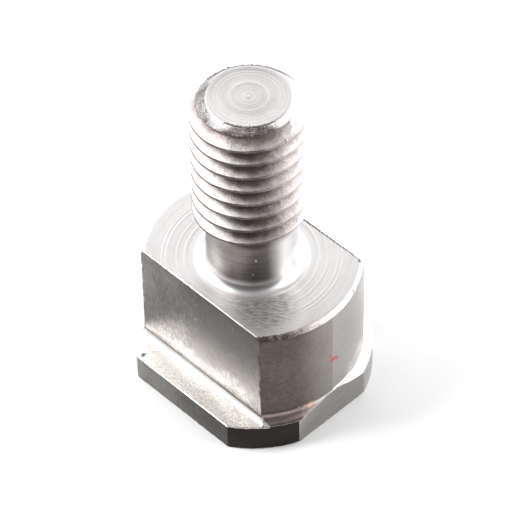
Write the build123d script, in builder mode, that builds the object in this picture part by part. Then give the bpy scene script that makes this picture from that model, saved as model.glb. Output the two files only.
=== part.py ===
"""T-head stud, turned and milled from one bar of stainless steel.

The head plate slides in a T-slot, the two flats of the round body ride between the slot's
lips, and the threaded end stands out of an undercut neck to take a nut.

The origin is at the middle of the head's underside, +Z runs up the screw to its tip, and the
two flats of the body face -Y and +Y.
"""
import os
from math import ceil, radians, tan

from build123d import *

# Thread: metric 60 degree form, right hand
thread_diameter = 8.0
thread_pitch = 1.25
thread_length = 10.5
thread_form_angle = 60.0
thread_start = 0.15
thread_end_chamfer = 0.3
tip_face_diameter = 5.6
tip_chamfer_height = 0.95

# Undercut neck, just below the root of the thread
neck_length = 4.8
neck_below_root = 0.1
neck_foot_radius = 0.9

# Round body with two milled flats
body_diameter = 15.35
body_height = 8.4
body_across_flats = 10.0
body_edge_chamfer = 0.3
flat_foot_radius = 0.4

# Head plate: a disc with two side flats and two end flats. A turned fillet fills the whole
# ledge between the body's round wall and the rim of the disc.
head_thickness = 2.2
head_rim_fillet = 0.63
head_side_ledge = 2.0
head_end_stand_off = 0.025

# Heights of the shoulders, from the underside of the head
body_top = head_thickness + body_height
neck_top = body_top + neck_length
tip_height = neck_top + thread_length

# Thread form: the crest is an eighth of the pitch wide, the root a sixth
flank_slope = tan(radians(thread_form_angle / 2))
crest_width = thread_pitch / 8
root_width = thread_pitch / 6
groove_width = thread_pitch - crest_width
groove_depth = (groove_width - root_width) / (2 * flank_slope)
crest_radius = thread_diameter / 2
root_radius = crest_radius - groove_depth

# The groove cutter stands a little proud of the crest, by less than makes its turns touch.
# It starts in the air beside the neck, a turn below the thread, and leaves above the tip.
cutter_proud = crest_width / 2
cutter_depth = groove_depth + cutter_proud
cutter_width = root_width + 2 * cutter_depth * flank_slope
cutter_start = neck_top + thread_start - thread_pitch
cutter_turns = ceil((tip_height - cutter_start) / thread_pitch)

neck_radius = root_radius - neck_below_root
body_radius = body_diameter / 2
head_radius = body_radius + head_rim_fillet
head_width = body_across_flats + 2 * head_side_ledge
head_length = body_diameter + 2 * head_end_stand_off


def turned_blank():
    """Half section of the bar as it leaves the lathe, from the head's underside to the tip."""
    rim = (head_radius, head_thickness)
    wall_foot = (body_radius, head_thickness + head_rim_fillet)
    wall_top = (body_radius, body_top - body_edge_chamfer)
    face_edge = (body_radius - body_edge_chamfer, body_top)
    neck_face = (neck_radius + neck_foot_radius, body_top)
    neck_foot = (neck_radius, body_top + neck_foot_radius)
    Polyline((0, 0), (head_radius, 0), rim)
    RadiusArc(rim, wall_foot, head_rim_fillet)
    Polyline(wall_foot, wall_top, face_edge, neck_face)
    RadiusArc(neck_face, neck_foot, neck_foot_radius)
    Polyline(
        neck_foot,
        (neck_radius, neck_top),
        (crest_radius - thread_end_chamfer, neck_top),
        (crest_radius, neck_top + thread_end_chamfer),
        (crest_radius, tip_height - tip_chamfer_height),
        (tip_face_diameter / 2, tip_height),
        (0, tip_height),
        (0, 0),
    )


with BuildPart() as screw:
    # Turning: the whole outline is one profile about the screw's axis
    with BuildSketch(Plane.XZ):
        with BuildLine():
            turned_blank()
        make_face()
    revolve(axis=Axis.Z)

    # Milling: two flats on the body, each with the cutter's nose radius at its foot
    for side in (-1, 1):
        flat_y = side * body_across_flats / 2
        outside_y = side * head_radius
        nose_top = (flat_y, head_thickness + flat_foot_radius)
        nose_foot = (flat_y + side * flat_foot_radius, head_thickness)
        with BuildSketch(Plane.YZ):
            with BuildLine():
                RadiusArc(nose_top, nose_foot, -side * flat_foot_radius)
                Polyline(
                    nose_foot,
                    (outside_y, head_thickness),
                    (outside_y, body_top),
                    (flat_y, body_top),
                    nose_top,
                )
            make_face()
        extrude(amount=head_radius, both=True, mode=Mode.SUBTRACT)

    # Milling: the rim of the head is cut back to its side flats and end flats
    with BuildSketch(Plane.XY):
        Rectangle(head_length, head_width)
    extrude(amount=tip_height, mode=Mode.INTERSECT)

    # Threading: a helical groove, one turn after another, that runs out into the neck
    for turn in range(cutter_turns):
        turn_start = cutter_start + turn * thread_pitch
        with BuildLine(Plane.XY.offset(turn_start)):
            Helix(pitch=thread_pitch, height=thread_pitch, radius=root_radius)
        with BuildSketch(Plane((root_radius, 0, turn_start), x_dir=(1, 0, 0), z_dir=(0, -1, 0))):
            with BuildLine():
                Polyline(
                    (0, -root_width / 2),
                    (cutter_depth, -cutter_width / 2),
                    (cutter_depth, cutter_width / 2),
                    (0, root_width / 2),
                    close=True,
                )
            make_face()
        sweep(is_frenet=True, mode=Mode.SUBTRACT)

screw.part.label = "screw"

os.makedirs("parts", exist_ok=True)
export_step(screw.part, "parts/screw.step")
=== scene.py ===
"""Looks of the T-head screw, laid out as a Blender add-on and run as a script.

The screw is one closed surface, worked out with numpy: a profile that changes with the angle
round the axis, and a thread whose rows climb with the helix. Lengths are in metres, in the CAD
frame: the origin is under the middle of the head, and +Z runs up the screw.
"""
from math import cos, pi, radians, sin, tan

import bmesh
import bpy
import numpy as np
from bpy.props import FloatProperty, FloatVectorProperty, PointerProperty
from mathutils import Matrix, Vector


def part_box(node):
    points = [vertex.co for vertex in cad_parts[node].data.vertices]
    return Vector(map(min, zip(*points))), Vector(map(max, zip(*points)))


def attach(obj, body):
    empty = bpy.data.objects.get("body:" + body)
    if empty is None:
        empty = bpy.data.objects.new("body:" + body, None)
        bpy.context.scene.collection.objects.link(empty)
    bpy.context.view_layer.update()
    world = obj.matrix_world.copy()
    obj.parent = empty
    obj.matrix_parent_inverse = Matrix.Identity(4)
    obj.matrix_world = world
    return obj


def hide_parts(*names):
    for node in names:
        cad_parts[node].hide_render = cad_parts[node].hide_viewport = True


bl_info = {
    "name": "T-head screw",
    "version": (1, 0, 0),
    "blender": (4, 5, 0),
    "location": "3D View > Sidebar > Screw",
    "description": "A turned and milled stainless steel T-head screw on a pale floor",
    "category": "Add Mesh",
}

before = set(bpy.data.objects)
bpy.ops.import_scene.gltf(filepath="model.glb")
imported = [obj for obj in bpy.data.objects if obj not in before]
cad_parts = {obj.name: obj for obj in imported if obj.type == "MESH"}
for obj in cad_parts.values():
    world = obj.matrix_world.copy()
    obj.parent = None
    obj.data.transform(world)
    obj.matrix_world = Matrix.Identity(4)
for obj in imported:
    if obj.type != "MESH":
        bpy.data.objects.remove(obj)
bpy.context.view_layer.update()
LOW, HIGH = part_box("screw")
MM = 0.001

# The small pit in the milled ledge: its place in plan, radius and depth in millimetres
LEDGE_PIT = (-4.2, -6.6)
LEDGE_PIT_RADIUS = 0.12
LEDGE_PIT_DEPTH = 0.06

# Places of the finishes in the screw's list of materials
(
    FACED, TURNED, SIDE_MILLED, DIE_CUT, END_MILLED, FRONT_ARC_SHADE, SHADED_FRONT, CREST, END_FLAT, CONE,
    TIP_END, NECK, FILLET, FRAYED, NOSE, BURR,
) = range(16)

# Specks and tints on each finish, each with its centre, radius and soft edge in millimetres,
# and its colour. All but the painted highlights, which only tint the steel, lie on it and aren't metal
SPOTS = {
    "turned_stainless": (
        ((7.67, 0.20, 6.00), 0.12, 0.12, "paint"),
        ((7.65, 0.50, 5.84), 0.08, 0.12, "paint"),
        ((5.99, 4.80, 2.66), 0.04, 0.08, "grime"),
    ),
    "turned_neck_stainless": (
        # Painted glints: pale specks for tiny glinting facets
        ((2.43, -1.97, 13.46), 0.03, 0.06, "painted_glint"),
        ((2.29, -2.14, 12.08), 0.02, 0.05, "painted_glint"),
    ),
    "front_shaded_turned_stainless": (
        ((7.67, -0.03, 5.96), 0.10, 0.12, "paint"),
        ((7.67, -0.10, 6.30), 0.05, 0.10, "paint"),
        ((7.67, -0.22, 6.66), 0.03, 0.10, "paint"),
        # Painted highlight: an orange glint along the foot of the body's front
        ((7.34, -2.78, 2.76), 0.02, 0.28, "painted_highlight"),
        ((7.50, -2.33, 2.74), 0.04, 0.30, "painted_highlight"),
        ((7.62, -1.90, 2.72), 0.10, 0.30, "painted_highlight"),
        ((7.70, -1.45, 2.70), 0.02, 0.28, "painted_highlight"),
    ),
    "turned_fillet_stainless": (
        # Painted highlight: the same orange glint on the fillet
        ((7.40, -2.85, 2.66), 0.02, 0.20, "painted_highlight"),
        ((7.52, -2.45, 2.68), 0.05, 0.22, "painted_highlight"),
        ((7.62, -2.00, 2.70), 0.10, 0.24, "painted_highlight"),
        ((7.72, -1.50, 2.68), 0.06, 0.22, "painted_highlight"),
    ),
    "side_milled_stainless": (((-1.95, -5.00, 7.76), 0.03, 0.12, "grime"),),
    "end_milled_stainless": (((-4.20, -6.60, 2.15), 0.02, 0.09, "grime"),),
    # Painted glint: a pale speck for a tiny glinting facet on the thread
    "die_cut_stainless": (((2.35, -2.84, 20.22), 0.04, 0.06, "painted_glint"),),
}

# Rings that the facing tool cut deeper: distance from the axis in millimetres, and height
RINGS = (
    (0.35, 0.5), (0.75, 0.2), (1.3, 0.45), (2.1, 0.3), (4.25, 0.4), (4.6, 0.7), (5.15, 0.5),
    (5.88, 0.9), (6.15, 0.9),
)
RING_HALF = 0.10
RING_REACH = 8.3

# Sizes in millimetres of the slow drift of the steel's colour, and of the nicks all over it
DRIFT = 3.0
NICKS_APART = 0.8
NICK_RADIUS = 0.08
NICK_DEPTH = 0.014

# Spans that the sums of noises keep within, from which the steel's colour and its roughness are
# taken, how far the roughness strays, and how deep the finer tearing is next to the tool marks
COLOUR_SPAN = (0.15, 0.85)
POLISH_SPAN = (0.7, 1.3)
POLISH_STRAY = 0.05
TEARING_DEPTH = 0.6

# Mean sizes in millimetres of the marks that each cut leaves. The feed marks of the real one are
# finer than a pixel of the render, so they are drawn a few times coarser
FACING_FEED = 0.30
TURNING_FEED = 0.25
SCORE = 0.16
STROKE = 0.16
SWIRL = 0.60
TEAR = 0.30
SCRATCH = 0.12

# Scratched patch on the turned shoulder: its centre, radius and soft edge in millimetres, how
# deep its scratches are next to the feed marks, and how narrow they are for their length
SCUFF = (3.9, -3.2, 10.6)
SCUFF_RADIUS = 1.6
SCUFF_EDGE = 2.0
SCUFF_DEPTH = 6.0
SCUFF_DRAWN = 0.2

# Dulled part of the shoulder, round the scratches: its centre, radius and soft edge, the film on
# the rest of the shoulder, and the two values of the scratches' noise between which the film
# grows, with how much of it there is at each
DULLED = (4.2, -2.8, 10.6)
DULLED_RADIUS = 0.9
DULLED_EDGE = 1.8
SHOULDER_FILM = 0.28
SCRATCH_FILM = (0.44, 0.56, 0.1, 1.0)

# Directions over the floor: towards the right of the picture, towards the camera, and towards
# the side of the thread with the most painted shade. The last one goes up the near flat, and leans to
# its left
TO_RIGHT = (0.688, 0.725, 0.0)
TO_FRONT = (0.725, -0.688, 0.0)
THREAD_FRONT = (0.766, -0.643, 0.0)
UP_THE_FLAT = (-0.25, 0.0, 1.0)

# Films that darken the steel, most of them painted shade: the two places between which each one changes,
# in millimetres along what it is measured by, and how much of it lies at each of them
DARKENINGS = {
    "thread_root": (3.35, 3.95, 0.95, 0.08),
    "thread_front": (2.9, 3.6, 0.0, 0.30),
    "crest": (0.6, 3.4, 0.95, 0.0),
    "cone_front": (2.45, 2.8, -0.25, 0.95),
    "cone_left": (-1.8, -2.8, 0.0, 1.0),
    "cone_behind": (-1.9, -2.8, 0.0, 1.0),
    "cone_outer": (3.0, 3.2, 0.0, 1.5),
    "neck_wall": (10.9, 11.6, 0.0, 1.0),
    "neck_left": (1.0, 2.2, 0.95, 0.0),
    "frayed_edge": (0.5, 3.6, -0.5, 1.0),
    "body_front": (-3.2, 0.7, 0.95, 0.0),
    "flat_above": (2.9, 4.7, 0.0, 0.50),
    "head_side": (2.1, 1.9, 0.0, 0.22),
    "far_side": (-1.0, 1.0, 1.0, 0.35),
}

# Painted shade on the milled sides at x = 0, and how much more there is for each millimetre to +X
SIDE_SHADE = 0.54
SIDE_SHADE_TILT = 0.07

# Edges of the head and body in millimetres: broken round the underside, eased round the rim,
# burred along the flats, frayed round the chamfer, and the step that the tool left at +X
BROKEN_EDGE = 0.10
EASED_EDGE = 0.05
FLAT_BURR = 0.075
FRAYED_DEPTH = 0.018
TOOL_STEP = 0.012
RIM_BLEND = 0.05
WALL_BLEND = 0.035

# Nicks down the body's upright edges, torn crests, and the burr in the tip's cone, all in
# millimetres, and how the burr fades towards the picture's right
CORNER_NICK_DEPTH = 0.09
CORNER_NICK_WIDTH = 0.07
CREST_TEAR = 0.006
CONE_TEAR = 0.012
CONE_LIP = 0.06
LIP_REACH = 0.05
RUBBED_FROM = 2.4
GROOVE_BLEND = 0.022

# The end of the tip in millimetres: the height and width of its eased edge, how far the edge is
# torn at the back and how much more at the front, the dish of the face, the share of its radius
# that the pip in its middle takes, and how far it all stays under the CAD's tip
TIP_EDGE = 0.05
TIP_EASED = 0.07
TIP_TORN = 0.015
TIP_TORN_FRONT = 0.035
TIP_DISH = 0.015
TIP_PIP = 0.085
TIP_UNDER = 0.002

# The flat of the shoulder is one ring of faces, from this far inside its edge to this far outside
# the neck's fillet, in millimetres
SHOULDER_FROM_EDGE = 0.12
SHOULDER_FROM_FILLET = 0.45

# Columns of the surface round the axis, the angle in degrees at which they start, straight behind
# the screw as the camera sees it, and how much they crowd and within how many degrees of a corner
COLUMNS = 756
SEAM = 136
CROWDING = 9
CROWDED_WITHIN = 0.55

# Where the finishes of the head and body part: how near a flat a face counts as on it, how far to
# the near side the frayed edge starts and how wide it is along the far flat, in millimetres, and
# the share of the turned fillet's height above which the body's front carries painted shade
ON_FLAT = 0.03
FRAYED_FROM = 0.4
FAR_EDGE = 0.3
SHADED_ABOVE = 0.6

# Where the finishes of the thread and tip part, in millimetres: how deep the crests reach, on the
# thread and in the cone, how deep the cone does, half the width of the lip in the cone and how
# far to the right it's burred, how far down the end face reaches, and how far in front of the
# axis its edge is burred
CREST_UNDER = 0.05
CONE_CREST_UNDER = 0.10
CONE_UNDER = 0.06
LIP_HALF = 0.07
LIP_UP_TO = 2.7
END_FACE_DEPTH = 0.16
BURR_FROM = 2.3

# Seeds of the unevenness, one for each edge that has some
SEEDS = {
    "tip_edge": 17, "flat_burr": 3, "corners": 5, "cone_lip": 7, "crest": 11, "rim": 13,
    "frayed_edge": 14,
}


def srgb(code):
    """Linear red, green and blue of an sRGB hex colour: the standard curve, channel by channel."""
    channels = np.array([int(code[i:i + 2], 16) for i in (0, 2, 4)]) / 255
    low = channels / 12.92
    high = ((channels + 0.055) / 1.055) ** 2.4
    return tuple(np.where(channels <= 0.04045, low, high).tolist())


def length(name, description, default):
    """A length in metres for a property group."""
    return FloatProperty(
        name=name,
        description=description,
        default=default,
        min=0.0,
        precision=5,
        unit="LENGTH",
        subtype="DISTANCE",
    )


def colour(name, description, code):
    """A colour for a property group, from its sRGB hex code."""
    return FloatVectorProperty(
        name=name,
        description=description,
        default=srgb(code),
        size=3,
        min=0.0,
        max=1.0,
        subtype="COLOR",
    )


class ScrewSizes(bpy.types.PropertyGroup):
    """Sizes of the screw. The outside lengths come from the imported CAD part."""

    head_length: length("Head length", "Across the two end flats of the head", HIGH.x - LOW.x)
    head_width: length("Head width", "Across the two side flats of the head", HIGH.y - LOW.y)
    tip_height: length("Overall length", "From the underside of the head to the tip", HIGH.z)
    head_thickness: length("Head thickness", "From the underside to the milled ledge", 2.2 * MM)
    rim_fillet: length("Turned fillet", "Radius that fills the rim of the head", 0.63 * MM)
    body_diameter: length("Body diameter", "Of the round part of the body", 15.35 * MM)
    across_flats: length("Across flats", "Between the two milled flats", 10.0 * MM)
    flat_foot: length("Cutter nose", "Radius at the foot of the milled flats", 0.4 * MM)
    body_top: length("Body top", "Height of the turned shoulder", 10.6 * MM)
    body_chamfer: length("Body chamfer", "Round the top of the body", 0.3 * MM)
    neck_radius: length("Neck radius", "Of the undercut below the thread", 3.133 * MM)
    neck_fillet: length("Neck fillet", "Radius at the foot of the neck", 0.9 * MM)
    neck_top: length("Neck top", "Height at which the thread starts", 15.4 * MM)
    thread_diameter: length("Thread diameter", "Over the crests", 8.0 * MM)
    thread_pitch: length("Thread pitch", "Rise of the thread in one turn", 1.25 * MM)
    thread_phase: length("Thread phase", "Height of a groove's middle at +X", 14.3 * MM)
    start_chamfer: length("Lower chamfer", "At the thread's lower end", 0.3 * MM)
    tip_chamfer: length("Tip chamfer height", "Of the cone at the tip", 0.95 * MM)
    tip_face: length("Tip face diameter", "Of the turned end face", 5.6 * MM)


class ScrewFinish(bpy.types.PropertyGroup):
    """Colours of the steel, the marks on it, and the light and shade painted on it."""

    steel_light: colour("Steel, clean", "Bright stainless steel", "D1CFCF")
    steel_dark: colour("Steel, filmed", "Stainless steel with a thin film of cutting oil", "969291")
    tip_light: colour("Tip, clean", "Faced end of the tip", "CDCBCB")
    tip_dark: colour("Tip, filmed", "Faced end of the tip, where oil has dried", "A39F9E")
    # Neck: the lighter colour at the lit foot and right, the darker one painted shade up the wall
    neck_light: colour("Neck, lit", "Foot of the turned neck, and its lit right", "DEDCDB")
    neck_dark: colour("Neck, shaded", "Wall of the turned neck, painted shade", "706A67")
    wall_light: colour("Body, clean", "Turned body on its lighter side", "B2AFAD")
    wall_dark: colour("Body, filmed", "Turned body, lighter side, where oil has dried", "A09C9A")
    ledge_light: colour("Ledge, clean", "End milled ledge of the head", "F0EEEC")
    ledge_dark: colour("Ledge, filmed", "End milled ledge, where oil has dried", "E6E3E1")
    # The fillet's darker colour is painted shade at the body's front
    fillet_dark: colour("Fillet, shaded", "Turned fillet, painted shade at its front", "83726C")
    # Milled sides: the darker colour is painted shade; the lighter one at the near flat's foot is a
    # painted reflection of the ledge
    side_light: colour("Sides, lighter", "Milled flats and sides", "9A9692")
    side_dark: colour("Sides, shaded", "Milled flats and sides, painted shade", "423E3A")
    end_light: colour("Ends, clean", "End flats of the head", "A19E9A")
    end_dark: colour("Ends, filmed", "End flats of the head, where oil has dried", "8F8B87")
    # Body front: a darker tone, deepened towards the corner with painted shade
    front_light: colour("Body front, lighter", "Turned body on its darker side", "9A9590")
    front_dark: colour("Body front, shaded", "Turned body, darker side, deepened by painted shade", "4A4440")
    edge_light: colour("Frayed edge, clean", "Frayed edges of the body's top", "C6BFBB")
    edge_dark: colour("Frayed edge, filmed", "Frayed edges, where oil has dried", "574E49")
    # Front arc of the head: painted shade, for the shadowed floor that it reflects at its foot
    arc_shade_light: colour("Front arc shade, lighter", "Painted shade on the head's front arc", "2E2A27")
    arc_shade_dark: colour("Front arc shade", "Painted shade on the head's front arc", "221E1C")
    # Crests: the darker colour is painted shade, lit towards the right
    crest_light: colour("Crest, lit", "Crests of the thread", "CCC6C4")
    crest_dark: colour("Crest, shaded", "Crests of the thread, painted shade", "554D4B")
    # Thread: the darker colour is painted shade in the root and at the front
    thread_light: colour("Thread, lighter", "Outer part of the thread's flanks", "D5CFCD")
    thread_dark: colour("Thread, shaded", "Root of the thread, painted shade", "766B68")
    paint: colour("Paint speck", "Speck of red marking paint on the body", "B03A2C")
    # Painted highlight: an orange glint on the fillet's front
    painted_highlight: colour("Painted highlight", "Orange highlight painted on the fillet's front", "F6BCA4")
    grime: colour("Grime", "Dirt in pits and nicks", "2B2622")
    # Painted glints: pale specks on the neck and the thread
    painted_glint: colour("Painted glint", "Pale specks of painted glint on the neck and the thread", "EDE9E6")


class Studio(bpy.types.PropertyGroup):
    """Floor, lamps and camera."""

    floor: colour("Floor", "Matt pale floor", "F4F4F4")
    ambient: FloatProperty(
        name="Ambient",
        description="Brightness of the room on the camera's side and overhead",
        default=0.08,
        min=0.0,
    )
    cove: FloatProperty(
        name="Cove",
        description="Brightness of the pale wall behind the screw",
        default=0.6,
        min=0.0,
    )
    level: FloatProperty(
        name="Lamp level",
        description="Scales all the lamps together",
        default=1.0,
        min=0.0,
    )
    lens: FloatProperty(
        name="Lens",
        description="Focal length on a sensor 36 mm wide",
        default=254.3,
        min=1.0,
        subtype="DISTANCE_CAMERA",
    )


# Surfaces


def soft_min(a, b, width):
    """The lesser of a and b, with their crossing rounded off.

    Where they differ by less than width, it is lowered by a quarter of width times the square of
    what is left: one minus their difference over width.
    """
    overlap = np.clip(1 - np.abs(a - b) / width, 0, 1)
    return np.minimum(a, b) - overlap**2 * width / 4


def quarter_round(distance, radius):
    """Height of a quarter circle of that radius, at a distance out from the wall it rises to."""
    inside = radius - np.clip(distance, 0, radius)
    return radius - np.sqrt(radius**2 - inside**2)


def ripple(angle, seed, slowest, fastest):
    """Seeded unevenness round the axis, about -1 to 1: the sum of 24 sines of whole turns."""
    random = np.random.default_rng(seed)
    turns = random.integers(slowest, fastest, 24)
    phase = random.uniform(0, 2 * pi, 24)
    return np.sin(angle[..., None] * turns + phase).sum(-1) / 5


def bend(start, corner, end, steps):
    """Rows of a rounded edge: the quadratic curve from start to end that corner pulls on."""
    s = np.linspace(0, 1, steps)[:, None]
    return [
        (1 - s) ** 2 * a + 2 * s * (1 - s) * b + s**2 * c
        for a, b, c in zip(start, corner, end)
    ]


def column_angles(count, corners, seam):
    """Angles of count columns round the axis, closer together at the corners.

    Their density is one plus a bell at each corner, and the angles part it into equal shares.
    """
    fine = np.linspace(seam, seam + 2 * pi, 40001)
    gap = (fine[:, None] - corners + pi) % (2 * pi) - pi
    density = 1 + CROWDING * np.exp(-((gap / radians(CROWDED_WITHIN)) ** 2)).sum(1)
    share = np.concatenate(([0], np.cumsum(density[1:] + density[:-1])))
    return np.interp(np.arange(count) * share[-1] / count, share, fine)


def corner_angles(s):
    """Angles of the body's four corners and the head's eight, from the sines and cosines."""
    body_radius = s.body_diameter / 2
    head_radius = body_radius + s.rim_fillet
    first = np.array([
        np.arcsin(s.across_flats / 2 / body_radius),
        np.arccos(s.head_length / 2 / head_radius),
        np.arcsin(s.head_width / 2 / head_radius),
    ])
    return np.concatenate((first, pi - first, pi + first, 2 * pi - first))


def head_and_body(angle, s):
    """Rows from the middle of the underside to the turned shoulder, as distance and height.

    The rim is the least of a circle and the flats, a flat being its distance over the sine or
    cosine of the angle. The ledge is the lower of the turned and the milled quarter round.
    """
    sine = np.abs(np.sin(angle))
    cosine = np.abs(np.cos(angle))
    body_radius = s.body_diameter / 2
    head_radius = body_radius + s.rim_fillet
    half_flats = s.across_flats / 2
    rim = soft_min(
        np.minimum(head_radius, s.head_width / 2 / np.maximum(sine, 0.1)),
        s.head_length / 2 / np.maximum(cosine, 0.1),
        RIM_BLEND * MM,
    )
    rim = soft_min(rim, s.head_width / 2 / np.maximum(sine, 0.1), RIM_BLEND * MM)
    wall = soft_min(body_radius, half_flats / np.maximum(sine, 0.1), WALL_BLEND * MM)
    # The tool's step: sharp at +X, and gone a tenth of a turn further round
    around = (angle + pi) % (2 * pi) - pi
    step = np.clip(around / radians(0.6), 0, 1) * np.clip(1 - around / radians(36), 0, 1)
    wall = wall - TOOL_STEP * MM * step
    zero = np.zeros_like(angle)

    def ledge(distance):
        """Height of the top of the head plate, that far from the axis."""
        y = distance * sine
        turned = quarter_round(distance - body_radius, s.rim_fillet)
        milled = quarter_round(y - half_flats, s.flat_foot)
        return s.head_thickness + np.where(y > half_flats, np.minimum(turned, milled), turned)

    # Underside, its broken edge and the side of the head
    uneven = 1 + 0.3 * ripple(angle, SEEDS["rim"], 9, 90)
    broken = BROKEN_EDGE * MM * uneven
    under = np.array([0, 0.5, 0.97])[:, None] * (rim - broken)
    rows = [(under, under * 0)]
    rows.append(bend((rim - broken, zero), (rim, zero), (rim, broken), 4))

    # Top edge of the rim, then the ledge in to the wall
    width = rim - wall
    eased = np.minimum(EASED_EDGE * MM * uneven, 0.4 * width)
    edge_height = ledge(rim)
    rows.append(bend(
        (rim, edge_height - eased),
        (rim, edge_height),
        (rim - eased, ledge(rim - eased)),
        4,
    ))
    milled_share = np.where(wall * sine > half_flats - 0.02 * MM, 1, 0)
    reach = np.where(milled_share, s.flat_foot / np.maximum(sine, 0.1), s.rim_fillet)
    reach = np.minimum(reach, width - eased)
    flat_part = np.array([0.97, 0.9, 0.84, 0.8, 0.765, 0.73, 0.7, 0.6, 0.4, 0.2])[:, None]
    turn = np.radians([90, 80, 70, 60, 50, 40, 30, 20, 10, 0])[:, None]
    out = np.concatenate((
        reach + (width - eased - reach) * flat_part,
        reach * (1 - np.cos(turn)),
    ))
    across = wall + out
    rows.append((across, ledge(across)))

    # Wall of the body up to its chamfer. On the flats the chamfer is the burr of the edge.
    burr = FLAT_BURR * MM * (1 + 0.45 * ripple(angle, SEEDS["flat_burr"], 20, 220))
    frayed = FRAYED_DEPTH * MM * ripple(angle, SEEDS["frayed_edge"], 30, 340)
    on_cone = s.body_top - s.body_chamfer + body_radius - wall + frayed
    low = np.minimum(on_cone, s.body_top - burr)
    high = np.minimum(wall, body_radius - s.body_chamfer - np.abs(frayed))
    high = np.minimum(high, wall - burr)
    foot = ledge(wall)
    climb = np.linspace(0, 1, 31)[1:, None]
    slope = np.hypot(wall - high, s.body_top - low)
    ease = np.minimum(0.3 * slope, 0.06 * MM)
    aside = ease * (wall - high) / slope
    up = ease * (s.body_top - low) / slope
    wall_rows = foot + (low - ease - foot) * climb
    rows.append((wall - corner_nicks(angle, wall_rows, wall, s), wall_rows))
    rows.append(bend((wall, low - ease), (wall, low), (wall - aside, low + up), 3))
    top = zero + s.body_top
    rows.append(bend((high + aside, top - up), (high, top), (high - ease, top), 3))
    rows.append(((high - SHOULDER_FROM_EDGE * MM)[None], top[None]))
    distance = np.concatenate([r[0] for r in rows])
    height = np.concatenate([r[1] for r in rows])
    return distance, height


def corner_nicks(angle, height, wall, s):
    """Depth of the nicks down the body's four upright edges.

    Across an edge a nick is a bell of the distance from it, and along it the part of a slow
    noise that is over its middle. It fades out at the foot and at the top.
    """
    first = np.arcsin(s.across_flats / s.body_diameter)
    corners = np.array([first, pi - first, pi + first, 2 * pi - first])
    gap = (angle[:, None] - corners + pi) % (2 * pi) - pi
    nearest = np.abs(gap).argmin(1)
    aside = np.abs(gap).min(1) * wall
    along = height / s.body_top * 2 * pi
    noise = ripple(along + nearest * 1.7, SEEDS["corners"], 4, 40)
    share = (height - height[0]) / (height[-1] - height[0])
    fade = np.clip(6 * share, 0, 1) * np.clip(12 * (1 - share), 0, 1)
    depth = CORNER_NICK_DEPTH * MM * np.clip(noise + 0.1, 0, 1.1) * fade
    return depth * np.exp(-((aside / (CORNER_NICK_WIDTH * MM)) ** 2))


def thread_blank(height, s):
    """Radius of the turned stem before threading: a cylinder, cut by the cone of each end."""
    crest = s.thread_diameter / 2
    lower = crest - s.start_chamfer + height - s.neck_top
    slope = (crest - s.tip_face / 2) / s.tip_chamfer
    upper = s.tip_face / 2 + (s.tip_height - height) * slope
    return soft_min(np.minimum(crest, lower), upper, 0.03 * MM)


def groove(offset, s):
    """Radius of the thread's groove at a height from its middle: flat root, 60 degree flanks."""
    root_half = s.thread_pitch / 12
    depth = (s.thread_pitch * 7 / 16 - root_half) / tan(radians(30))
    rise = (np.abs(offset) - root_half) / tan(radians(30))
    root = s.thread_diameter / 2 - depth
    return root - soft_min(-rise, 0 * rise, 0.05 * MM)


def groove_half(middle, side, s):
    """How far the groove opens to one side of its middle, until its flank meets the blank.

    The flank's radius less the blank's only grows on the way out, so the interval is halved.
    """
    near = np.zeros_like(middle)
    far = near + s.thread_pitch * 7 / 16
    for _ in range(26):
        half = (near + far) / 2
        above = groove(half, s) > thread_blank(middle + side * half, s)
        near = np.where(above, near, half)
        far = np.where(above, half, far)
    return near


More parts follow.
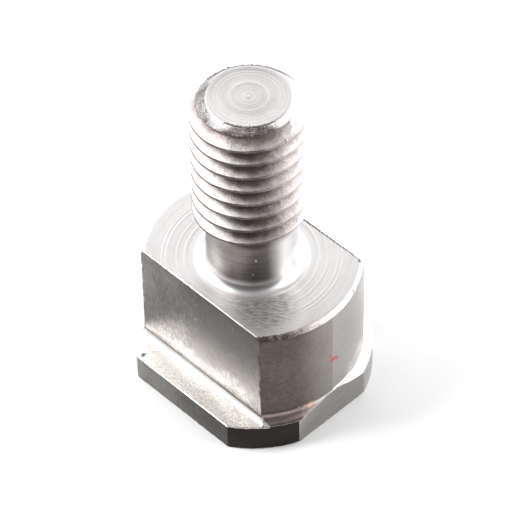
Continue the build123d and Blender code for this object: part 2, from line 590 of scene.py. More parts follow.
def thread(angle, seam, s):
    """Rows of the thread, which climb by one pitch in a turn, as distance and height.

    Each turn has 12 rows: the groove's two edges, each between two more that round it, the
    middles of its flanks, and the corners of its root. Rows past either end lie on that end.
    """
    pitch = s.thread_pitch
    turns = int(np.ceil((s.tip_height - s.neck_top) / pitch)) + 3
    at_seam = s.thread_phase + pitch * seam / (2 * pi)
    first = at_seam - pitch * np.ceil((at_seam - s.neck_top) / pitch) - 2 * pitch
    middle = first + pitch * (np.arange(turns)[:, None] + (angle - seam) / (2 * pi))
    below = groove_half(middle, -1, s)
    above = groove_half(middle, 1, s)
    root = pitch / 12
    round_edge = 0.016 * MM
    inner = 0.6 * root
    outer = 1.5 * root
    opened = np.minimum(below, above) > outer

    def inside(half, share):
        """A place on the flank, or the groove's own edge where it has closed."""
        return np.where(opened, outer + (half - outer) * share, half)

    offsets = [
        -below - round_edge,
        -below,
        -inside(below, 1) + round_edge,
        -inside(below, 0.5),
        -np.minimum(outer, below),
        -np.minimum(inner, below),
        np.minimum(inner, above),
        np.minimum(outer, above),
        inside(above, 0.5),
        inside(above, 1) - round_edge,
        above,
        above + round_edge,
    ]
    height = middle[:, None] + np.stack(offsets, 1)
    height = height.reshape(-1, len(angle))
    height = np.maximum.accumulate(height, 0)
    last = s.tip_height - TIP_EDGE * MM
    height = np.clip(height, s.neck_top, last)
    helix = s.thread_phase + pitch * angle / (2 * pi)
    offset = height - helix
    offset = offset - pitch * np.round(offset / pitch)
    cut = groove(offset, s)
    blank = thread_blank(height, s)
    plain = soft_min(cut, blank, GROOVE_BLEND * MM)
    # Torn crests: uneven where the groove's edge is, and raised as a ragged lip in the tip's
    # cone. The lip is rubbed off towards the picture's right
    turn = np.round((height - helix) / pitch)
    at_edge = np.exp(-((cut - blank) / (LIP_REACH * MM)) ** 2)
    torn = ripple(angle + turn * 2.4, SEEDS["crest"], 30, 120)
    coarse = ripple(angle + turn * 1.3, SEEDS["cone_lip"], 40, 125)
    to_right = plain * (np.cos(angle) * TO_RIGHT[0] + np.sin(angle) * TO_RIGHT[1])
    left_on = np.clip(RUBBED_FROM - to_right / MM, 0, 1)
    in_cone = np.clip((height - s.tip_height + s.tip_chamfer) / (0.2 * MM), 0, 1)
    tear = CREST_TEAR * (1 + torn) + CONE_TEAR * in_cone * left_on * (1 - coarse)
    distance = plain - at_edge * MM * tear
    lip = distance + CONE_LIP * MM * at_edge * in_cone * left_on * np.clip(coarse + 0.4, 0, 1.4)
    distance = np.maximum(distance, np.minimum(lip, s.thread_diameter / 2 - 0.01 * MM))
    # No tearing at either end, where the rows meet the neck's and the tip's
    fade = 0.1 * MM
    ends = np.clip((height - s.neck_top) / fade, 0, 1) * np.clip((last - height) / fade, 0, 1)
    distance = plain + (distance - plain) * ends
    return distance, height, len(offsets)


def neck(angle, s):
    """Rows from the turned shoulder up the neck to the thread: a quarter circle and a wall."""
    turn = np.radians(np.linspace(0, 90, 10))[:, None]
    fillet = s.neck_fillet
    far = s.neck_radius + fillet
    distance = far - fillet * np.sin(turn) + 0 * angle
    height = s.body_top + fillet * (1 - np.cos(turn)) + 0 * angle
    start = np.full((1, len(angle)), far + SHOULDER_FROM_FILLET * MM)
    start_height = np.full((1, len(angle)), s.body_top)
    climb = np.linspace(0, 1, 5)[1:, None] + 0 * angle
    wall_height = s.body_top + fillet + (s.neck_top - s.body_top - fillet) * climb
    wall = np.full_like(wall_height, s.neck_radius)
    return (
        np.concatenate((start, distance, wall)),
        np.concatenate((start_height, height, wall_height)),
    )


def tip(angle, s):
    """Rows over the tip's edge and in over its face, which is dished round a small pip.

    The edge is torn, more so at the front: by the square of the cosine of the angle from it. The
    pip rises by one minus the square of the distance over its radius.
    """
    slope = (s.thread_diameter / 2 - s.tip_face / 2) / s.tip_chamfer
    front = np.clip(np.cos(angle) * TO_FRONT[0] + np.sin(angle) * TO_FRONT[1], 0, 1) ** 2
    torn = (TIP_TORN + TIP_TORN_FRONT * front) * MM
    edge = s.tip_face / 2 + torn * ripple(angle, SEEDS["tip_edge"], 20, 120)
    top = s.tip_height + 0 * angle
    face = top - TIP_UNDER * MM
    dish = TIP_DISH * MM
    outer = (edge + TIP_EDGE * MM * slope, top - TIP_EDGE * MM)
    eased = bend(outer, (edge, face), (edge - TIP_EASED * MM, face), 4)
    eased = [rows[1:] for rows in eased]
    across = np.array([0.95, 0.6, 0.3, 0.16, 0.11, 0.085, 0.07, 0.055, 0.035, 0.015, 0])
    across = across[:, None] * edge
    pip = np.clip(1 - (across / (TIP_PIP * s.tip_face / 2)) ** 2, 0, 1)
    height = s.tip_height - dish + (dish - TIP_UNDER * MM) * pip
    return np.concatenate((eased[0], across)), np.concatenate((eased[1], height))


def places(distance, height, angle):
    """Points of rows of distances and heights: cylinder coordinates to x, y and z."""
    x = distance * np.cos(angle)
    y = distance * np.sin(angle)
    return np.stack((x, y, height), -1)


def dent(points, centre, radius, depth):
    """Lowers points near centre in plan by a bell of that radius and depth."""
    reach = np.hypot(points[..., 0] - centre[0], points[..., 1] - centre[1]) / radius
    points[..., 2] -= depth * np.exp(-(reach**2))


def quads(grid, following):
    """Quads between the columns of a grid of point numbers and the columns that follow them."""
    corners = (grid[:-1], following[:-1], following[1:], grid[1:])
    return np.stack(corners, -1).reshape(-1, 4)


def closed_mesh(name, points, faces, finishes):
    """A mesh of points and faces whose repeated points are merged, with smooth shading."""
    mesh = bpy.data.meshes.new(name)
    mesh.from_pydata(points.tolist(), [], faces)
    mesh.polygons.foreach_set("material_index", finishes)
    work = bmesh.new()
    work.from_mesh(mesh)
    bmesh.ops.remove_doubles(work, verts=work.verts, dist=1e-7)
    bmesh.ops.dissolve_degenerate(work, edges=work.edges, dist=1e-8)
    for face in work.faces:
        face.smooth = True
    work.to_mesh(mesh)
    work.free()
    mesh.update()
    return mesh


def screw_surface(s):
    """The whole screw as points, faces and each face's finish, from its rows.

    The head and body have three columns for each one of the neck, thread and tip. A ring of
    six-sided faces joins them, flat on the turned shoulder.
    """
    seam = radians(SEAM)
    angle = column_angles(COLUMNS, corner_angles(s), seam)
    slim = angle[::3]
    low_distance, low_height = head_and_body(angle, s)
    low = places(low_distance, low_height, angle)
    pit = [v * MM for v in LEDGE_PIT]
    pitted = low.copy()
    dent(pitted, pit, LEDGE_PIT_RADIUS * MM, LEDGE_PIT_DEPTH * MM)
    on_ledge = np.abs(low[..., 2:] - s.head_thickness) < 0.2 * MM
    low = np.where(on_ledge, pitted, low)

    neck_distance, neck_height = neck(slim, s)
    thread_distance, thread_height, per_turn = thread(slim, seam, s)
    tip_distance, tip_height = tip(slim, s)
    distance = np.concatenate((neck_distance, thread_distance, tip_distance))
    height = np.concatenate((neck_height, thread_height, tip_height))
    high = places(distance, height, slim)
    points = np.concatenate((low.reshape(-1, 3), high.reshape(-1, 3)))

    low_grid = np.arange(low_distance.size).reshape(low_distance.shape)
    high_grid = low_distance.size + np.arange(distance.size).reshape(distance.shape)
    low_next = np.roll(low_grid, -1, 1)
    high_next = np.roll(high_grid, -1, 1)
    start = len(neck_distance)
    stop = start + len(thread_distance)
    last = stop - per_turn
    high_next[start:last, -1] = high_grid[start + per_turn:stop, 0]
    high_next[last:stop, -1] = high_grid[stop - 1, 0]
    ring = np.concatenate((
        np.stack([np.roll(low_grid[-1], -k)[::3] for k in range(4)], -1),
        high_next[0][:, None],
        high_grid[0][:, None],
    ), 1)
    low_faces = quads(low_grid, low_next)
    high_faces = quads(high_grid, high_next)
    finishes = np.concatenate((
        low_finishes(low, s),
        np.full(len(ring), FACED),
        high_finishes(high, start, stop, s),
    ))
    faces = low_faces.tolist() + ring.tolist() + high_faces.tolist()
    return points, faces, finishes


def low_finishes(points, s):
    """Finish of each face of the head and body, from where its middle is and how it leans.

    The turned fillet carries the front's painted shade at +X and is bright at -X. The frayed edges are
    the front of the body's chamfer and its edge along the far flat.
    """
    near = ON_FLAT * MM
    middle = (points[:-1] + points[1:]) / 2
    x, y, z = np.moveaxis(np.abs(middle), -1, 0)
    inner = np.hypot(points[:-1, :, 0], points[:-1, :, 1])
    outer = np.hypot(points[1:, :, 0], points[1:, :, 1])
    upright = np.abs(points[1:, :, 2] - points[:-1, :, 2]) > np.abs(outer - inner)
    finish = np.where(upright, TURNED, FACED)
    above = z > s.head_thickness - 0.3 * MM
    by_cutter = (y > s.across_flats / 2 - near) & above & (z < s.body_top - 0.05 * MM)
    side = (z < s.head_thickness + 0.5 * MM) & upright
    on_side = y > s.head_width / 2 - near
    on_end = x > s.head_length / 2 - near
    finish = np.where(by_cutter | (side & on_side), SIDE_MILLED, finish)
    finish = np.where(side & on_end, END_FLAT, finish)
    milled_foot = by_cutter & (z < s.head_thickness + s.flat_foot)
    on_ledge = milled_foot & (z < s.head_thickness + 0.01 * MM)
    over_ledge = (z > s.head_thickness) & (z < s.head_thickness + s.rim_fillet)
    turned_foot = over_ledge & (finish <= TURNED)
    finish = np.where(milled_foot, NOSE, finish)
    finish = np.where(on_ledge, END_MILLED, finish)
    fillet = np.where(middle[..., 0] > 0, FILLET, NOSE)
    finish = np.where(turned_foot & ~on_ledge, fillet, finish)
    front = (middle[..., 0] > 0) & (middle[..., 1] < 0)
    # The head's arcs; the front one is painted dark as painted shade, for the shadowed floor it reflects
    shaded_arc = side & ~on_side & ~on_end & ~by_cutter & (z < s.head_thickness)
    finish = np.where(shaded_arc & front, FRONT_ARC_SHADE, finish)
    # The body's front above the fillet, which carries painted shade towards its corner
    front_shaded = front & (z > s.head_thickness + SHADED_ABOVE * s.rim_fillet)
    front_shaded = front_shaded & upright & (finish == TURNED) & (z < s.body_top - s.body_chamfer)
    edge = front & (middle[..., 1] < -FRAYED_FROM * MM) & (z > s.body_top - s.body_chamfer)
    edge = edge & (np.hypot(x, y) > s.body_diameter / 2 - s.body_chamfer)
    at_far_flat = middle[..., 1] > s.across_flats / 2 - FAR_EDGE * MM
    far_edge = at_far_flat & (z > s.body_top - near)
    finish = np.where(front_shaded, SHADED_FRONT, finish)
    finish = np.where((edge | far_edge) & (finish <= TURNED), FRAYED, finish)
    return finish.reshape(-1)


def high_finishes(points, start, stop, s):
    """Finish of each face above the shoulder, from its row and from where its middle is.

    A face belongs to the cone, or to a crest, where it is near the blank before threading. The
    burr is the groove's edge within the cone, and the front of the tip's edge.
    """
    rows = np.arange(len(points) - 1)
    finish = np.where(rows < start, TURNED, np.where(rows < stop - 1, DIE_CUT, FACED))
    finish[0] = FACED
    finish = np.repeat(finish[:, None], points.shape[1], 1)
    in_thread = (rows[:, None] >= start) & (rows[:, None] < stop - 1)
    middle = (points[:-1] + points[1:]) / 2
    x, y, z = np.moveaxis(middle, -1, 0)
    distance = np.hypot(x, y)
    blank = thread_blank(z, s)
    in_cone = z > s.tip_height - s.tip_chamfer
    crest_under = np.where(in_cone, CONE_CREST_UNDER, CREST_UNDER)
    on_crest = distance > s.thread_diameter / 2 - crest_under * MM
    to_front = x * TO_FRONT[0] + y * TO_FRONT[1]
    to_right = x * TO_RIGHT[0] + y * TO_RIGHT[1]
    offset = z - s.thread_phase - s.thread_pitch * np.arctan2(y, x) / (2 * pi)
    offset = offset - s.thread_pitch * np.round(offset / s.thread_pitch)
    end_face = points[:-1, :, 2] > s.tip_height - END_FACE_DEPTH * MM
    at_rim = end_face & (distance > s.tip_face / 2 - TIP_EASED * MM) & (to_front > BURR_FROM * MM)
    on_neck = (rows[:, None] < start) & (z > s.body_top + 0.001 * MM)
    lip = np.abs(groove(offset, s) - blank) < LIP_HALF * MM
    lip = lip & in_cone & (to_right < LIP_UP_TO * MM) & (rows[:, None] < stop - 1)
    finish = np.where(in_thread & (distance > blank - CONE_UNDER * MM), CONE, finish)
    finish = np.where(end_face, TIP_END, finish)
    finish = np.where(at_rim, BURR, finish)
    finish = np.where(on_neck, NECK, finish)
    finish = np.where((rows[:, None] >= start) & on_crest, CREST, finish)
    return np.where(lip, BURR, finish).reshape(-1)


# Materials


def add(tree, kind, inputs=None, **settings):
    """Adds a node: its settings by name, and each input a value or another node's output."""
    node = tree.nodes.new(kind)
    for name, value in settings.items():
        setattr(node, name, value)
    for name, value in (inputs or {}).items():
        if isinstance(value, bpy.types.NodeSocket):
            tree.links.new(value, node.inputs[name])
        else:
            node.inputs[name].default_value = value
    return node


def rgba(values):
    """A colour of three channels with full alpha."""
    return (*values, 1.0)


def steel(finish, name, marks, grain, roughness, relief, mottle, light, dark, film=None):
    """Stainless steel, from how its surface was cut.

    marks(tree, place) gives the tool marks as a height, from 0 to 1, and relief is how deep they
    are in millimetres. grain is the size of the finer tearing under them. The colour goes from
    light to dark: mottle to either side of half way, or of what film(tree, place) gives, and
    darker in the hollows of the marks. On most finishes the film is painted shade.
    """
    material = bpy.data.materials.new(name)
    material.use_nodes = True
    tree = material.node_tree
    shader = tree.nodes["Principled BSDF"]
    shader.inputs["Metallic"].default_value = 1.0
    place = add(tree, "ShaderNodeTexCoord").outputs["Object"]
    height = marks(tree, place)
    drift = add(tree, "ShaderNodeTexNoise", {
        "Vector": place, "Scale": 1 / (DRIFT * MM), "Detail": 4.0, "Roughness": 0.62,
    }).outputs["Fac"]
    fleck = add(tree, "ShaderNodeTexNoise", {
        "Vector": place, "Scale": 1 / (grain * MM), "Detail": 3.0, "Roughness": 0.7,
    }).outputs["Fac"]
    both = add(tree, "ShaderNodeMath", {0: drift, 1: fleck}, operation="ADD").outputs[0]
    hollow = add(tree, "ShaderNodeMath", {0: both, 1: height}, operation="SUBTRACT").outputs[0]
    patchy = add(tree, "ShaderNodeMapRange", {
        "Value": hollow, "From Min": COLOUR_SPAN[0], "From Max": COLOUR_SPAN[1],
        "To Min": -mottle, "To Max": mottle,
    }).outputs[0]
    # How far the colour goes to dark: the mottle over the film, which on most finishes is painted shade
    stain = add(tree, "ShaderNodeMath", {
        0: patchy, 1: 0.5 if film is None else film(tree, place),
    }, operation="ADD", use_clamp=True).outputs[0]
    base = add(tree, "ShaderNodeMix", {
        "Factor": stain, "A": rgba(light), "B": rgba(dark),
    }, data_type="RGBA")
    lay_spots(tree, place, shader, SPOTS.get(name, ()), base.outputs["Result"], finish)
    rough = add(tree, "ShaderNodeMath", {0: height, 1: fleck}, operation="ADD").outputs[0]
    polish = add(tree, "ShaderNodeMapRange", {
        "Value": rough, "From Min": POLISH_SPAN[0], "From Max": POLISH_SPAN[1],
        "To Min": roughness - POLISH_STRAY, "To Max": roughness + POLISH_STRAY,
    }).outputs[0]
    tree.links.new(polish, shader.inputs["Roughness"])
    coarse = add(tree, "ShaderNodeBump", {
        "Height": height, "Strength": 1.0, "Distance": relief * MM,
    }).outputs[0]
    fine = add(tree, "ShaderNodeBump", {
        "Height": fleck, "Strength": 1.0, "Distance": relief * TEARING_DEPTH * MM,
        "Normal": coarse,
    }).outputs[0]
    nicks = add(tree, "ShaderNodeTexVoronoi", {
        "Vector": place, "Scale": 1 / (NICKS_APART * MM), "Randomness": 1.0,
    }).outputs["Distance"]
    pocks = add(tree, "ShaderNodeMapRange", {
        "Value": nicks, "From Min": 0.0, "From Max": NICK_RADIUS / NICKS_APART,
    }, interpolation_type="SMOOTHSTEP").outputs[0]
    nicked = add(tree, "ShaderNodeBump", {
        "Height": pocks, "Strength": 1.0, "Distance": NICK_DEPTH * MM, "Normal": fine,
    }).outputs[0]
    tree.links.new(nicked, shader.inputs["Normal"])
    return material


def spot(tree, place, centre, radius, edge):
    """How much a place is in a spot: 1 within radius of its centre, and 0 from edge further."""
    apart = add(tree, "ShaderNodeVectorMath", {
        0: place, 1: tuple(v * MM for v in centre),
    }, operation="DISTANCE").outputs["Value"]
    return add(tree, "ShaderNodeMapRange", {
        "Value": apart, "From Min": radius * MM, "From Max": (radius + edge) * MM,
        "To Min": 1.0, "To Max": 0.0,
    }, interpolation_type="SMOOTHSTEP").outputs[0]


def lay_spots(tree, place, shader, spots, steel_colour, finish):
    """Links the steel's colour to the shader, with the spots laid over it in turn.

    Where a speck lies, the shader is less of a metal: it is one minus the specks' sum.
    """
    bare = None
    for centre, radius, edge, kind in spots:
        mask = spot(tree, place, centre, radius, edge)
        mixed = add(tree, "ShaderNodeMix", {
            "Factor": mask, "A": steel_colour, "B": rgba(getattr(finish, kind)),
        }, data_type="RGBA")
        steel_colour = mixed.outputs["Result"]
        # Painted highlights only tint the steel and leave it a metal
        if kind == "painted_highlight":
            continue
        before = 1.0 if bare is None else bare
        bare = add(tree, "ShaderNodeMath", {
            0: before, 1: mask,
        }, operation="SUBTRACT", use_clamp=True).outputs[0]
    tree.links.new(steel_colour, shader.inputs["Base Color"])
    if bare is not None:
        tree.links.new(bare, shader.inputs["Metallic"])


def line_noise(tree, distance, size, detail):
    """Noise that changes only along one number, given in metres: lines a mean size apart."""
    return add(tree, "ShaderNodeTexNoise", {
        "W": distance, "Scale": 1 / (size * MM), "Detail": detail, "Roughness": 0.6,
    }, noise_dimensions="1D").outputs["Fac"]


def along(tree, place, direction):
    """How far a place is from the screw's axis in a direction."""
    return add(tree, "ShaderNodeVectorMath", {
        0: place, 1: direction,
    }, operation="DOT_PRODUCT").outputs["Value"]


def from_axis(tree, place):
    """Distance of a place from the screw's axis."""
    parts = add(tree, "ShaderNodeSeparateXYZ", {0: place}).outputs
    flat = add(tree, "ShaderNodeCombineXYZ", {"X": parts["X"], "Y": parts["Y"]}).outputs[0]
    return add(tree, "ShaderNodeVectorMath", {0: flat}, operation="LENGTH").outputs["Value"]


def graded(tree, distance, film, blend="LINEAR"):
    """How much of a film lies at a distance, between the two places that DARKENINGS gives for it."""
    start, stop, at_start, at_stop = DARKENINGS[film]
    return add(tree, "ShaderNodeMapRange", {
        "Value": distance, "From Min": start * MM, "From Max": stop * MM,
        "To Min": at_start, "To Max": at_stop,
    }, interpolation_type=blend).outputs[0]


def thread_shade(tree, place):
    """Painted shade in the thread: from full at its root to little at its crests, and more at the front,
    towards the camera.
    """
    deep = graded(tree, from_axis(tree, place), "thread_root")
    front = graded(tree, along(tree, place, THREAD_FRONT), "thread_front")
    return add(tree, "ShaderNodeMath", {0: deep, 1: front}, operation="ADD").outputs[0]


def crest_shade(tree, place):
    """Painted shade on the crests, for the shaded groove under each one: full on one half of the thread,
    and none towards its lit right.
    """
    return graded(tree, along(tree, place, TO_RIGHT), "crest")


def cone_darkening(tree, place):
    """Darkening on the tip's cone: at its front, on its left, and in a line round its back edge."""
    forward = along(tree, place, TO_FRONT)
    front = graded(tree, forward, "cone_front")
    left = graded(tree, along(tree, place, TO_RIGHT), "cone_left")
    behind = graded(tree, forward, "cone_behind")
    outer = graded(tree, from_axis(tree, place), "cone_outer")
    sides = add(tree, "ShaderNodeMath", {0: front, 1: left}, operation="ADD").outputs[0]
    return add(tree, "ShaderNodeMath", {
        0: behind, 1: outer, 2: sides,
    }, operation="MULTIPLY_ADD").outputs[0]


def neck_shade(tree, place):
    """Painted shade on the neck: full on its wall, and none at its bright foot or round on the lit
    right.
    """
    z = add(tree, "ShaderNodeSeparateXYZ", {0: place}).outputs["Z"]
    up = graded(tree, z, "neck_wall")
    left = graded(tree, along(tree, place, TO_RIGHT), "neck_left")
    return add(tree, "ShaderNodeMath", {0: up, 1: left}, operation="MULTIPLY").outputs[0]


def edge_oil(tree, place):
    """Oil on the frayed edges: none at the middle of the body's front, and full at its corners."""
    y = add(tree, "ShaderNodeSeparateXYZ", {0: place}).outputs["Y"]
    aside = add(tree, "ShaderNodeMath", {0: y}, operation="ABSOLUTE").outputs[0]
    return graded(tree, aside, "frayed_edge")


def front_shade(tree, place):
    """Painted shade on the front of the body, for the shadowed floor that it reflects: full at its
    corner, and none past the tool's step.
    """
    y = add(tree, "ShaderNodeSeparateXYZ", {0: place}).outputs["Y"]
    return graded(tree, y, "body_front", "SMOOTHSTEP")


def side_shade(tree, place):
    """Painted shade on the milled sides: more to +X, above a slanting line, and on the head's side.

    The line is level across UP_THE_FLAT: low on the left of the near flat and high on its right.
    Below it the near flat keeps a lighter colour, a painted reflection of the bright ledge.
    The far side has about a third as much, all over.
    """
    parts = add(tree, "ShaderNodeSeparateXYZ", {0: place}).outputs
    tilt = add(tree, "ShaderNodeMath", {
        0: parts["X"], 1: SIDE_SHADE_TILT / MM, 2: SIDE_SHADE,
    }, operation="MULTIPLY_ADD").outputs[0]
    head = graded(tree, parts["Z"], "head_side")
    above = graded(tree, along(tree, place, UP_THE_FLAT), "flat_above")
    lower = add(tree, "ShaderNodeMath", {0: tilt, 1: head}, operation="ADD").outputs[0]
    whole = add(tree, "ShaderNodeMath", {0: lower, 1: above}, operation="ADD").outputs[0]
    share = graded(tree, parts["Y"], "far_side")
    return add(tree, "ShaderNodeMath", {0: whole, 1: share}, operation="MULTIPLY").outputs[0]


def scratches(tree, place):
    """Scratches on the shoulder: noise drawn out towards the picture's right."""
    aside = add(tree, "ShaderNodeMath", {
        0: along(tree, place, TO_RIGHT), 1: SCUFF_DRAWN,
    }, operation="MULTIPLY").outputs[0]
    drawn = add(tree, "ShaderNodeCombineXYZ", {
        "X": along(tree, place, TO_FRONT), "Y": aside,
    }).outputs[0]
    return add(tree, "ShaderNodeTexNoise", {
        "Vector": drawn, "Scale": 1 / (SCRATCH * MM), "Detail": 4.0, "Roughness": 0.75,
    }).outputs["Fac"]


def handled(tree, place):
    """Wear on the shoulder: dark strokes where it's scratched, and even over the rest of it."""
    start, stop, least, most = SCRATCH_FILM
    darker = add(tree, "ShaderNodeMapRange", {
        "Value": scratches(tree, place), "From Min": start, "From Max": stop,
        "To Min": least, "To Max": most,
    }).outputs[0]
    return add(tree, "ShaderNodeMath", {
        0: spot(tree, place, DULLED, DULLED_RADIUS, DULLED_EDGE), 1: darker, 2: SHOULDER_FILM,
    }, operation="MULTIPLY_ADD").outputs[0]


def rings(tree, place):
    """Feed marks of a facing cut: lines of constant distance from the axis.

    Those that the tool cut deeper stand out of the rest, each as a ridge that falls to nothing
    RING_HALF to either side of its radius. In its patch the scratches are laid over them.
    """
    radius = from_axis(tree, place)
    lines = line_noise(tree, radius, FACING_FEED, 3.0)
    reach = RING_REACH * MM
    share = add(tree, "ShaderNodeMath", {0: radius, 1: reach}, operation="DIVIDE").outputs[0]
    ramp = add(tree, "ShaderNodeValToRGB", {"Fac": share})
    stops = ramp.color_ramp.elements
    stops[0].color = (0, 0, 0, 1)
    stops[1].color = (0, 0, 0, 1)
    for ring, height in RINGS:
        for side, level in ((-1, 0.0), (0, height), (1, 0.0)):
            stop = stops.new((ring + side * RING_HALF) / RING_REACH)
            stop.color = (level, level, level, 1)
    ringed = add(tree, "ShaderNodeMath", {
        0: lines, 1: ramp.outputs["Color"],
    }, operation="ADD").outputs[0]
    patch = add(tree, "ShaderNodeMath", {
        0: spot(tree, place, SCUFF, SCUFF_RADIUS, SCUFF_EDGE), 1: SCUFF_DEPTH,
    }, operation="MULTIPLY").outputs[0]
    return add(tree, "ShaderNodeMath", {
        0: scratches(tree, place), 1: patch, 2: ringed,
    }, operation="MULTIPLY_ADD").outputs[0]


def hoops(tree, place):
    """Feed marks of a turning cut: lines of constant height."""
    parts = add(tree, "ShaderNodeSeparateXYZ", {0: place}).outputs
    return line_noise(tree, parts["Z"], TURNING_FEED, 3.0)


def strokes(tree, place):
    """Marks of a side mill: noise drawn out along Z, the way its teeth stand."""
    drawn = add(tree, "ShaderNodeMapping", {"Vector": place, "Scale": (1.0, 1.0, 0.28)})
    return add(tree, "ShaderNodeTexNoise", {
        "Vector": drawn.outputs[0], "Scale": 1 / (STROKE * MM), "Detail": 4.0, "Roughness": 0.65,
    }).outputs["Fac"]


def swirls(tree, place):
    """Marks of an end mill: soft noise drawn out along Y, a little way across its path."""
    drawn = add(tree, "ShaderNodeMapping", {"Vector": place, "Scale": (1.0, 0.4, 1.0)})
    return add(tree, "ShaderNodeTexNoise", {
        "Vector": drawn.outputs[0], "Scale": 1 / (SWIRL * MM), "Detail": 3.0, "Roughness": 0.55,
    }).outputs["Fac"]


def tears(tree, place):
    """Torn steel of a die-cut thread: noise a little longer round the axis than along it."""
    drawn = add(tree, "ShaderNodeMapping", {"Vector": place, "Scale": (0.6, 0.6, 1.0)})
    return add(tree, "ShaderNodeTexNoise", {
        "Vector": drawn.outputs[0], "Scale": 1 / (TEAR * MM), "Detail": 4.0, "Roughness": 0.7,
    }).outputs["Fac"]


def scores(tree, place):
    """Scores round the tip's cone: fine rings, a third of the way to torn steel."""
    return add(tree, "ShaderNodeMix", {
        "Factor": 0.3, "A": line_noise(tree, from_axis(tree, place), SCORE, 3.0),
        "B": tears(tree, place),
    }).outputs[0]


# Operators


class SCREW_OT_machined_screw(bpy.types.Operator):
    """Adds the screw, in place of its plain CAD node"""

    bl_idname = "screw.machined_screw"
    bl_label = "Machined screw"

    def execute(self, context):
        s = context.scene.screw_sizes
        finish = context.scene.screw_finish
        points, faces, finishes = screw_surface(s)
        mesh = closed_mesh("machined_screw", points, faces, finishes)
        clean = (finish.steel_light, finish.steel_dark)
        tip_end = (finish.tip_light, finish.tip_dark)
        cone = (finish.tip_light, finish.crest_dark)
        neck_steel = (finish.neck_light, finish.neck_dark)
        edge = (finish.edge_light, finish.edge_dark)
        fillet = (finish.ledge_light, finish.fillet_dark)
        nose = (finish.ledge_light, finish.wall_light)
        wall = (finish.wall_light, finish.wall_dark)
        ledge = (finish.ledge_light, finish.ledge_dark)
        side = (finish.side_light, finish.side_dark)
        end = (finish.end_light, finish.end_dark)
        front = (finish.front_light, finish.front_dark)
        # Colours of the painted shade on the head's front arc
        shaded_arc = (finish.arc_shade_light, finish.arc_shade_dark)
        crest = (finish.crest_light, finish.crest_dark)
        flank = (finish.thread_light, finish.thread_dark)
        # In the order of their numbers, each finish has its name, marks, grain, roughness, relief,
        # mottle, light and dark colour, and its film where it has one
        kinds = (
            # Faced on a lathe: rings of fine feed marks that catch the light all round
            ("faced_stainless", rings, 0.10, 0.36, 0.016, 0.16, *clean, handled),
            # Turned on a lathe: fine hoops, brighter than a milled side
            ("turned_stainless", hoops, 0.12, 0.31, 0.008, 0.15, *wall),
            # Side milled: short upright strokes that blur what they reflect, under painted shade
            ("side_milled_stainless", strokes, 0.12, 0.24, 0.042, 0.25, *side, side_shade),
            # Thread cut with a die: torn and sandy flanks, with painted shade towards the root and at
            # the front
            ("die_cut_stainless", tears, 0.10, 0.33, 0.070, 0.30, *flank, thread_shade),
            # End milled ledge: the cutter's overlapping swirls leave it satin and pale
            ("end_milled_stainless", swirls, 0.20, 0.25, 0.004, 0.14, *ledge),
            # The front arc of the head, painted near black: painted shade for the shadowed floor that it
            # reflects at its foot
            ("front_arc_painted_shade", hoops, 0.12, 0.30, 0.008, 0.20, *shaded_arc),
            # Round body on its darker side, from the front corner to the tool line, with painted shade
            # that deepens it towards the corner, for the shadowed floor it reflects
            ("front_shaded_turned_stainless", tears, 0.14, 0.31, 0.006, 0.12, *front, front_shade),
            # Crests of the thread: narrow, and painted dark as shade of the groove under them, lit
            # towards the right
            ("shaded_crest_stainless", tears, 0.08, 0.40, 0.020, 0.30, *crest, crest_shade),
            # End flats of the head, milled with the cutter's end: a little brighter than the sides
            ("face_milled_stainless", hoops, 0.12, 0.28, 0.012, 0.20, *end),
            # Cone of the tip, scored where the die started to bite
            ("scored_stainless", scores, 0.10, 0.34, 0.110, 0.60, *cone, cone_darkening),
            # Faced end of the tip: the same rings as on the shoulder, a little greyer
            ("faced_end_stainless", rings, 0.10, 0.36, 0.020, 0.28, *tip_end),
            # Turned neck: bright at its foot and on its lit right, with painted shade up the rest of its
            # wall
            ("turned_neck_stainless", hoops, 0.10, 0.35, 0.006, 0.08, *neck_steel, neck_shade),
            # Turned fillet at the foot of the body, at +X: satin, so that it shows a soft glow, with
            # painted shade towards the front corner
            ("turned_fillet_stainless", hoops, 0.20, 0.40, 0.006, 0.20, *fillet, front_shade),
            # Frayed edges of the body's top: torn by the tool, half of them under oil
            ("frayed_edge_stainless", tears, 0.08, 0.36, 0.060, 0.60, *edge, edge_oil),
            # Radius that the cutter's nose left: rougher than the ledge, it blurs the lamps
            ("nose_radius_stainless", swirls, 0.20, 0.50, 0.008, 0.20, *nose),
            # Burr round the foot of the cone and the front of the tip's edge: rough, so it draws
            # a dark line, under the crests' painted shade
            ("burred_stainless", tears, 0.08, 0.65, 0.030, 0.30, *crest, crest_shade),
        )
        for name, *rest in kinds:
            mesh.materials.append(steel(finish, name, *rest))
        piece = bpy.data.objects.new("machined_screw", mesh)
        context.scene.collection.objects.link(piece)
        even = piece.modifiers.new("Even normals", "WEIGHTED_NORMAL")
        even.mode = "FACE_AREA"
        even.weight = 100
        even.keep_sharp = True
        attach(piece, "root")
        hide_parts("screw")
        return {"FINISHED"}


# The camera stands where the photograph's did, which was found from the edges of the screw
CAMERA_AROUND = 46.455
CAMERA_ABOVE = 47.429
CAMERA_ROLL = -1.163
CAMERA_DISTANCE = 248.37
CAMERA_ASIDE = 0.223
CAMERA_RAISED = 1.734
LOOK_AT_HEIGHT = 8.0


def camera_axes():
    """The camera's right, up and back directions from its two angles and its roll."""
    around = radians(CAMERA_AROUND)
    above = radians(CAMERA_ABOVE)
    roll = radians(CAMERA_ROLL)
    back = Vector((sin(around) * cos(above), -cos(around) * cos(above), sin(above)))
    right = Vector((cos(around), sin(around), 0))
    up = back.cross(right)
    rolled_right = right * cos(roll) + up * sin(roll)
    rolled_up = up * cos(roll) - right * sin(roll)
    return rolled_right, rolled_up, back


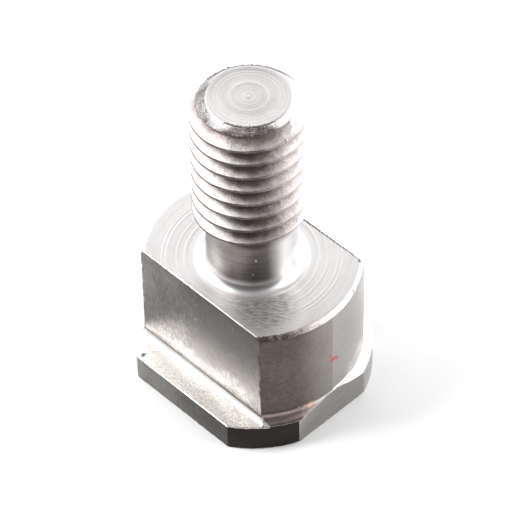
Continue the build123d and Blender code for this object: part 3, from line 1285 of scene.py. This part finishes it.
# The softboxes, all as far from the screw. Each has its angle round from the camera towards the
# picture's right, its angle over the floor, the half angles that it fills, and its radiance
SOFTBOX_DISTANCE = 0.30
SOFTBOXES = (
    ("left_low", -92, 16, 24, 10, 1.7),
    ("left_high", -93, 46, 12, 12, 18.0),
    ("left_far", -132, 12, 12, 12, 3.5),
    ("right_near", 80, 18, 12, 11, 8.5),
    ("right_far", 130, 18, 12, 11, 8.0),
    ("right_high", 88, 46, 24, 14, 2.9),
    ("front_high", 0, 68, 30, 20, 0.20),
    ("back", 188, 40, 36, 14, 1.9),
)


def softbox(context, name, aside, above, spread, tall, radiance):
    """An area lamp aimed at the screw. Its power is its radiance times pi times its area."""
    turn = radians(CAMERA_AROUND - 90 + aside)
    high = radians(above)
    away = Vector((cos(turn) * cos(high), sin(turn) * cos(high), sin(high)))
    lamp = bpy.data.lights.new(name, "AREA")
    lamp.shape = "RECTANGLE"
    lamp.size = 2 * SOFTBOX_DISTANCE * tan(radians(spread))
    lamp.size_y = 2 * SOFTBOX_DISTANCE * tan(radians(tall))
    lamp.energy = radiance * lamp.size * lamp.size_y * pi * context.scene.screw_studio.level
    rig = bpy.data.objects.new(name, lamp)
    target = Vector((0, 0, LOOK_AT_HEIGHT * MM))
    turned = away.to_track_quat("Z", "Y").to_matrix().to_4x4()
    rig.matrix_world = Matrix.Translation(target + away * SOFTBOX_DISTANCE) @ turned
    context.scene.collection.objects.link(rig)
    return rig


# The pale cove of the room fades out overhead, between two heights of a direction's end, and
# towards the camera, between two cosines of its angle from straight behind the screw
COVE_TOP = (0.6, 0.9)
COVE_SIDES = (-0.3, 0.4)
FLOOR_HALF = 4.0


class SCREW_OT_studio(bpy.types.Operator):
    """Adds the pale floor, the softboxes, the room's dim light and the camera"""

    bl_idname = "screw.studio"
    bl_label = "Studio"

    def execute(self, context):
        studio = context.scene.screw_studio
        scene = context.scene
        scene.view_settings.view_transform = "Standard"

        # Painted board: matt and pale, it gives the white ground and its reflection in the steel
        board = bpy.data.materials.new("painted_board")
        board.use_nodes = True
        shader = board.node_tree.nodes["Principled BSDF"]
        shader.inputs["Base Color"].default_value = rgba(studio.floor)
        shader.inputs["Roughness"].default_value = 0.9
        shader.inputs["Specular IOR Level"].default_value = 0.0
        corners = FLOOR_HALF * np.array([(-1, -1, 0), (1, -1, 0), (1, 1, 0), (-1, 1, 0)])
        mesh = bpy.data.meshes.new("floor")
        mesh.from_pydata(corners.tolist(), [], [(0, 1, 2, 3)])
        mesh.materials.append(board)
        floor = bpy.data.objects.new("floor", mesh)
        scene.collection.objects.link(floor)

        for name, *place in SOFTBOXES:
            softbox(context, name, *place)

        # The room: a pale cove behind and beside the screw, dim overhead and towards the camera
        world = bpy.data.worlds.new("room")
        world.use_nodes = True
        tree = world.node_tree
        way = add(tree, "ShaderNodeTexCoord").outputs["Generated"]
        turn = radians(CAMERA_AROUND - 90)
        behind = add(tree, "ShaderNodeVectorMath", {
            0: way, 1: (-cos(turn), -sin(turn), 0),
        }, operation="DOT_PRODUCT").outputs["Value"]
        low = add(tree, "ShaderNodeMapRange", {
            "Value": add(tree, "ShaderNodeSeparateXYZ", {0: way}).outputs["Z"],
            "From Min": COVE_TOP[0], "From Max": COVE_TOP[1],
            "To Min": studio.cove, "To Max": studio.ambient,
        }, interpolation_type="SMOOTHSTEP").outputs[0]
        level = add(tree, "ShaderNodeMapRange", {
            "Value": behind, "From Min": COVE_SIDES[0], "From Max": COVE_SIDES[1],
            "To Min": studio.ambient, "To Max": low,
        }, interpolation_type="SMOOTHSTEP").outputs[0]
        background = tree.nodes["Background"]
        tree.links.new(level, background.inputs["Strength"])
        background.inputs["Color"].default_value = (1, 1, 1, 1)
        scene.world = world

        camera = bpy.data.cameras.new("camera")
        camera.lens = studio.lens
        camera.sensor_width = 36
        right, up, back = camera_axes()
        place = Vector((0, 0, LOOK_AT_HEIGHT)) + CAMERA_ASIDE * right + CAMERA_RAISED * up
        place = (place + CAMERA_DISTANCE * back) * MM
        eye = bpy.data.objects.new("camera", camera)
        axes = Matrix((right, up, back)).transposed().to_4x4()
        eye.matrix_world = Matrix.Translation(place) @ axes
        scene.collection.objects.link(eye)
        scene.camera = eye
        return {"FINISHED"}


class SCREW_PT_panel(bpy.types.Panel):
    """Lists the screw's sizes, colours and operators in the sidebar"""

    bl_idname = "SCREW_PT_panel"
    bl_label = "T-head screw"
    bl_space_type = "VIEW_3D"
    bl_region_type = "UI"
    bl_category = "Screw"

    def draw(self, context):
        layout = self.layout
        for group in (context.scene.screw_sizes, context.scene.screw_finish, context.scene.screw_studio):
            for name in group.__annotations__:
                layout.prop(group, name)
        for operator in OPERATORS:
            layout.operator(operator.bl_idname)


GROUPS = {"screw_sizes": ScrewSizes, "screw_finish": ScrewFinish, "screw_studio": Studio}
OPERATORS = (SCREW_OT_machined_screw, SCREW_OT_studio)


def register():
    for name, group in GROUPS.items():
        bpy.utils.register_class(group)
        setattr(bpy.types.Scene, name, PointerProperty(type=group))
    for operator in OPERATORS:
        bpy.utils.register_class(operator)
    bpy.utils.register_class(SCREW_PT_panel)


def unregister():
    bpy.utils.unregister_class(SCREW_PT_panel)
    for operator in reversed(OPERATORS):
        bpy.utils.unregister_class(operator)
    for name, group in reversed(GROUPS.items()):
        delattr(bpy.types.Scene, name)
        bpy.utils.unregister_class(group)


def main():
    register()
    bpy.ops.screw.machined_screw()
    bpy.ops.screw.studio()
    bpy.context.view_layer.update()


if __name__ == "__main__":
    main()
